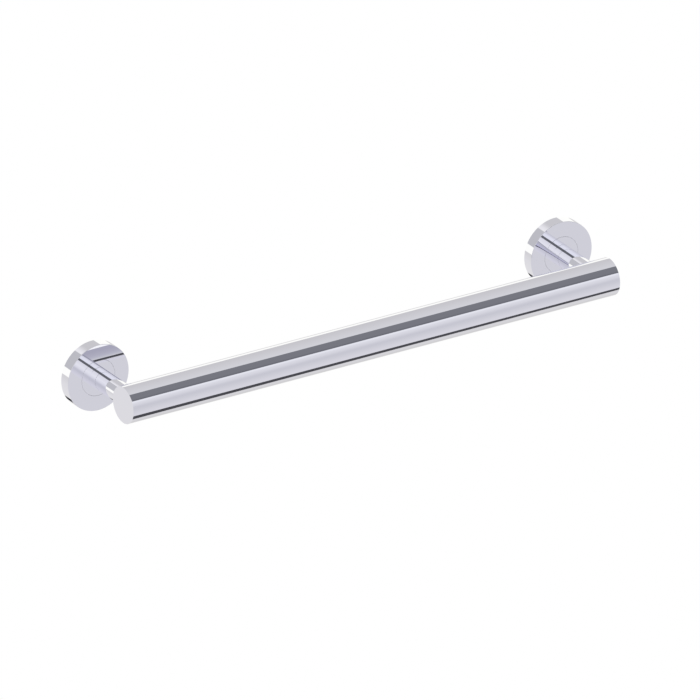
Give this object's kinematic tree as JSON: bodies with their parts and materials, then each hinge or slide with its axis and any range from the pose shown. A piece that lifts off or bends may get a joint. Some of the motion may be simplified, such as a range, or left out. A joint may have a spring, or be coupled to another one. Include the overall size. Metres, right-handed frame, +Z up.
{
  "type": "grab bar",
  "caption": "Straight round grab bar on short posts, with slim round wall flanges under slide-on covers and flat closed ends.",
  "frame": {"origin": "centre of the left wall fixing, on the wall's surface", "axes": "+X along the bar to the right, +Y into the wall, +Z up"},
  "size_m": [0.509, 0.083, 0.059],
  "materials": {
    "polished_chrome": "mirror-polished chrome plate",
    "turned_chrome": "turned and chrome-plated, polished on the face",
    "stainless": "satin stainless steel",
    "black_rubber": "matt",
    "grey_rubber": "matt closed-cell sheet"
  },
  "bodies": {
    "root": {"bar_tube": "polished_chrome", "end_cap_left": "polished_chrome", "end_cap_right": "polished_chrome", "post_left": "polished_chrome", "cover_left": "polished_chrome", "wall_flange_left": "turned_chrome", "gasket_left": "grey_rubber", "o_ring_left": "black_rubber", "grub_screw_left": "stainless", "tie_bolt_left": "stainless", "spring_washer_left": "stainless", "saddle_nut_left": "stainless", "post_right": "polished_chrome", "cover_right": "polished_chrome", "wall_flange_right": "turned_chrome", "gasket_right": "grey_rubber", "o_ring_right": "black_rubber", "grub_screw_right": "stainless", "tie_bolt_right": "stainless", "spring_washer_right": "stainless", "saddle_nut_right": "stainless"}
  },
  "joints": []
}
